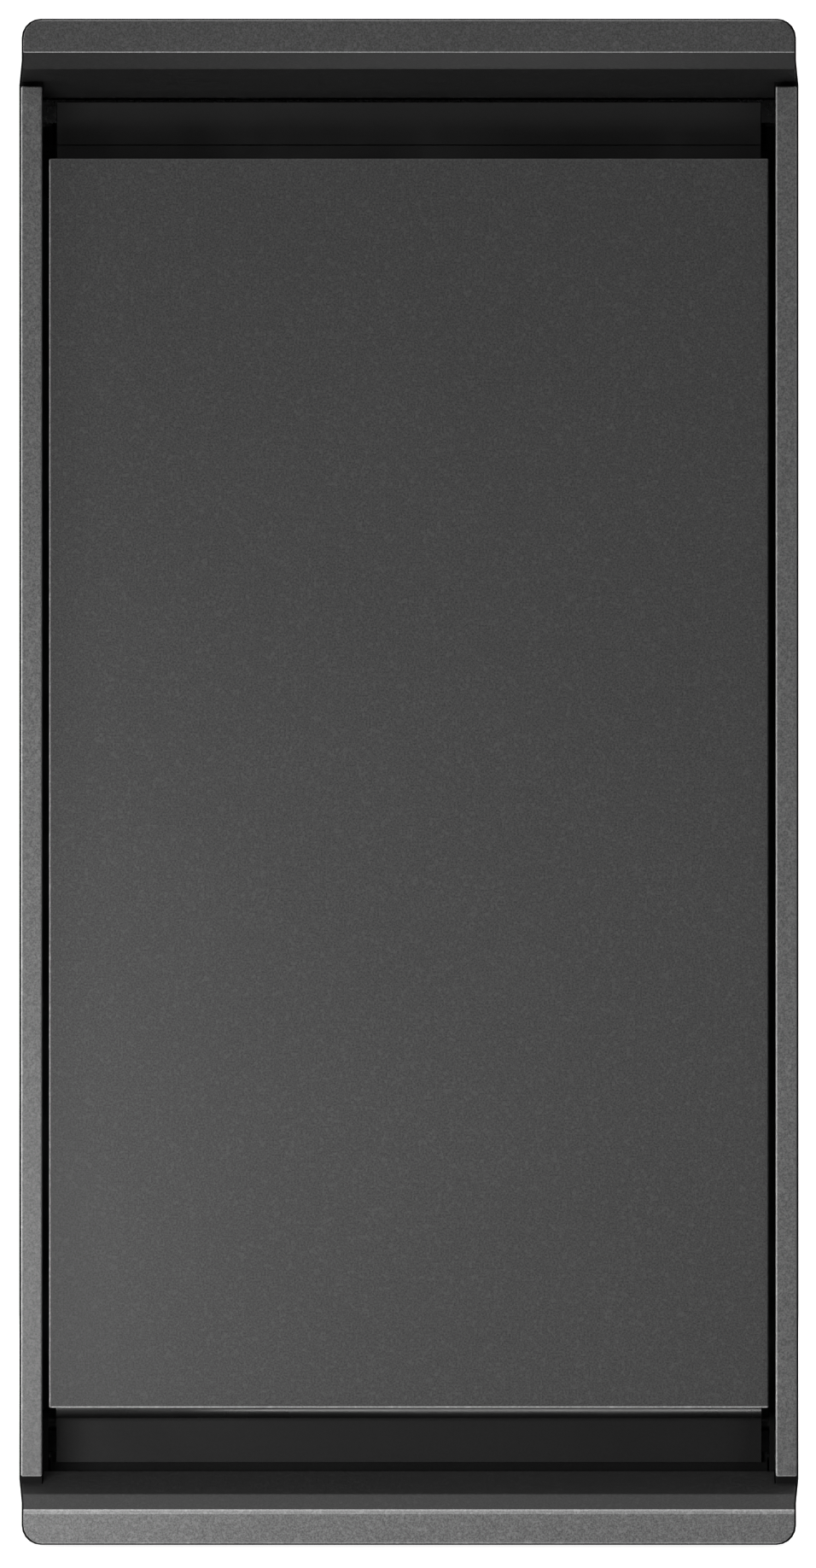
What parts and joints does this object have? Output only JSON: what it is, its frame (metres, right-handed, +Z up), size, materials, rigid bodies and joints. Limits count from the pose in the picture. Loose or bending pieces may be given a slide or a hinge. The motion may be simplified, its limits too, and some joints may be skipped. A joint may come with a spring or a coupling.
{
  "type": "trash compactor",
  "caption": "Undercounter trash compactor: inset drawer front between two thick caps, hidden controls, toe pedal, and a ram driven down into the bin by twin power screws.",
  "frame": {"origin": "on the floor, under the middle of the machine", "axes": "+X to the right as seen from the front, +Y from the face to the back, +Z up"},
  "size_m": [0.446, 0.61, 0.8735],
  "materials": {
    "charcoal_coat": "charcoal powder coat with a fine grain",
    "black_frame": "moulded black, fine texture",
    "black_plastic": "moulded black, satin",
    "cabinet_paint": "black baked enamel on steel",
    "zinc_steel": "zinc-plated sheet",
    "machined_steel": "machined, lightly oiled",
    "bronze": "sintered bronze",
    "bin_plastic": "moulded grey polypropylene",
    "ram_paint": "grey enamel",
    "motor_paint": "black enamel",
    "cast_alloy": "die-cast, as cast",
    "nylon": "natural nylon",
    "rubber": "matt black",
    "start_green": "moulded green",
    "stop_red": "moulded red",
    "filter_carbon": "carbon-filled fibre pad"
  },
  "bodies": {
    "cabinet": {"front_frame": "black_frame", "top_cap": "charcoal_coat", "bottom_cap": "charcoal_coat", "side_rail_left": "charcoal_coat", "side_rail_right": "charcoal_coat", "cabinet_wrap": "cabinet_paint", "back_panel": "cabinet_paint", "base_pan": "zinc_steel", "foot_front_left": "rubber", "foot_front_right": "rubber", "foot_rear_left": "rubber", "foot_rear_right": "rubber", "charcoal_filter": "filter_carbon", "filter_cover": "black_plastic", "cord_gland": "black_plastic", "drive_chain": "machined_steel", "drive_cover": "zinc_steel", "gearcase": "cast_alloy", "drive_motor": "motor_paint", "head_beam": "zinc_steel", "lower_bearing_left": "bronze", "lower_bearing_right": "bronze", "upper_bearing_left": "bronze", "upper_bearing_right": "bronze", "drawer_track_left": "zinc_steel", "drawer_track_right": "zinc_steel", "pedal_shaft": "machined_steel", "pedal_bracket_left": "zinc_steel", "pedal_bracket_right": "zinc_steel", "pedal_spring": "machined_steel", "limit_switch": "black_plastic", "wire_harness": "rubber"},
    "drawer": {"drawer_panel": "charcoal_coat", "front_carrier": "black_plastic", "grip_plate": "black_plastic", "bottom_bead": "rubber", "control_strip": "black_plastic", "drawer_floor": "zinc_steel", "trash_bin": "bin_plastic", "drawer_runner_left": "zinc_steel", "drawer_runner_right": "zinc_steel"},
    "ram": {"ram_platen": "ram_paint", "ram_body": "ram_paint", "crosshead": "ram_paint", "power_nut_left": "bronze", "power_nut_right": "bronze"},
    "screw_left": {"power_screw_left": "machined_steel", "screw_sprocket_left": "machined_steel"},
    "screw_right": {"power_screw_right": "machined_steel", "screw_sprocket_right": "machined_steel"},
    "drive_output": {"drive_sprocket": "machined_steel"},
    "front_roller_left": {"front_roller_left": "nylon"},
    "front_roller_right": {"front_roller_right": "nylon"},
    "rear_roller_left": {"rear_roller_left": "nylon"},
    "rear_roller_right": {"rear_roller_right": "nylon"},
    "start_button": {"start_button": "start_green"},
    "stop_button": {"stop_button": "stop_red"},
    "key_lock": {"key_lock": "machined_steel"},
    "toe_pedal": {"toe_pedal": "black_plastic"},
    "limit_lever": {"limit_lever": "machined_steel"}
  },
  "joints": [
    {"name": "drawer_slide", "type": "slide", "parent": "cabinet", "child": "drawer", "axis": [0, -1, 0], "range_m": [0, 0.36]},
    {"name": "ram_slide", "type": "slide", "parent": "cabinet", "child": "ram", "axis": [0, 0, 1], "range_m": [-0.29, 0]},
    {"name": "screw_left_spin", "type": "hinge", "parent": "cabinet", "child": "screw_left", "pos_m": [-0.194, -0.0439, 0.4165], "axis": [0, 0, 1], "continuous": true},
    {"name": "screw_right_spin", "type": "hinge", "parent": "cabinet", "child": "screw_right", "pos_m": [0.194, -0.0439, 0.4165], "axis": [0, 0, 1], "continuous": true},
    {"name": "drive_spin", "type": "hinge", "parent": "cabinet", "child": "drive_output", "pos_m": [0, 0.2205, 0.0295], "axis": [0, 0, 1], "continuous": true},
    {"name": "front_roller_left_spin", "type": "hinge", "parent": "cabinet", "child": "front_roller_left", "pos_m": [-0.1655, -0.2167, 0.0855], "axis": [1, 0, 0], "continuous": true},
    {"name": "front_roller_right_spin", "type": "hinge", "parent": "cabinet", "child": "front_roller_right", "pos_m": [0.1655, -0.2167, 0.0855], "axis": [1, 0, 0], "continuous": true},
    {"name": "rear_roller_left_spin", "type": "hinge", "parent": "drawer", "child": "rear_roller_left", "pos_m": [-0.1655, 0.1676, 0.0847], "axis": [1, 0, 0], "continuous": true},
    {"name": "rear_roller_right_spin", "type": "hinge", "parent": "drawer", "child": "rear_roller_right", "pos_m": [0.1655, 0.1676, 0.0847], "axis": [1, 0, 0], "continuous": true},
    {"name": "start_button_press", "type": "slide", "parent": "drawer", "child": "start_button", "axis": [0, 0, -1], "range_m": [0, 0.0025], "stiffness_N_per_m": 600, "springref_m": -0.001},
    {"name": "stop_button_press", "type": "slide", "parent": "drawer", "child": "stop_button", "axis": [0, 0, -1], "range_m": [0, 0.0025], "stiffness_N_per_m": 600, "springref_m": -0.001},
    {"name": "key_lock_turn", "type": "hinge", "parent": "drawer", "child": "key_lock", "pos_m": [0.174, -0.2577, 0.7818], "axis": [0, 0, 1], "range_deg": [0, 90]},
    {"name": "toe_pedal_rock", "type": "hinge", "parent": "cabinet", "child": "toe_pedal", "pos_m": [0, -0.235, 0.0685], "axis": [1, 0, 0], "range_deg": [0, 12], "stiffness_Nm_per_rad": 0.8, "springref_deg": -17.19, "deforming": ["pedal_spring"]},
    {"name": "limit_lever_lift", "type": "hinge", "parent": "cabinet", "child": "limit_lever", "pos_m": [-0.09, 0.0039, 0.807], "axis": [-1, 0, 0], "range_deg": [0, 3], "stiffness_Nm_per_rad": 0.02, "springref_deg": -11.46}
  ],
  "couplings": [
    {"joint": "screw_left_spin", "follows": "ram_slide", "rad_per_m": -523.6},
    {"joint": "screw_right_spin", "follows": "ram_slide", "rad_per_m": -523.6},
    {"joint": "drive_spin", "follows": "ram_slide", "rad_per_m": -523.6},
    {"joint": "front_roller_left_spin", "follows": "drawer_slide", "rad_per_m": 125},
    {"joint": "front_roller_right_spin", "follows": "drawer_slide", "rad_per_m": 125},
    {"joint": "rear_roller_left_spin", "follows": "drawer_slide", "rad_per_m": 125},
    {"joint": "rear_roller_right_spin", "follows": "drawer_slide", "rad_per_m": 125}
  ]
}
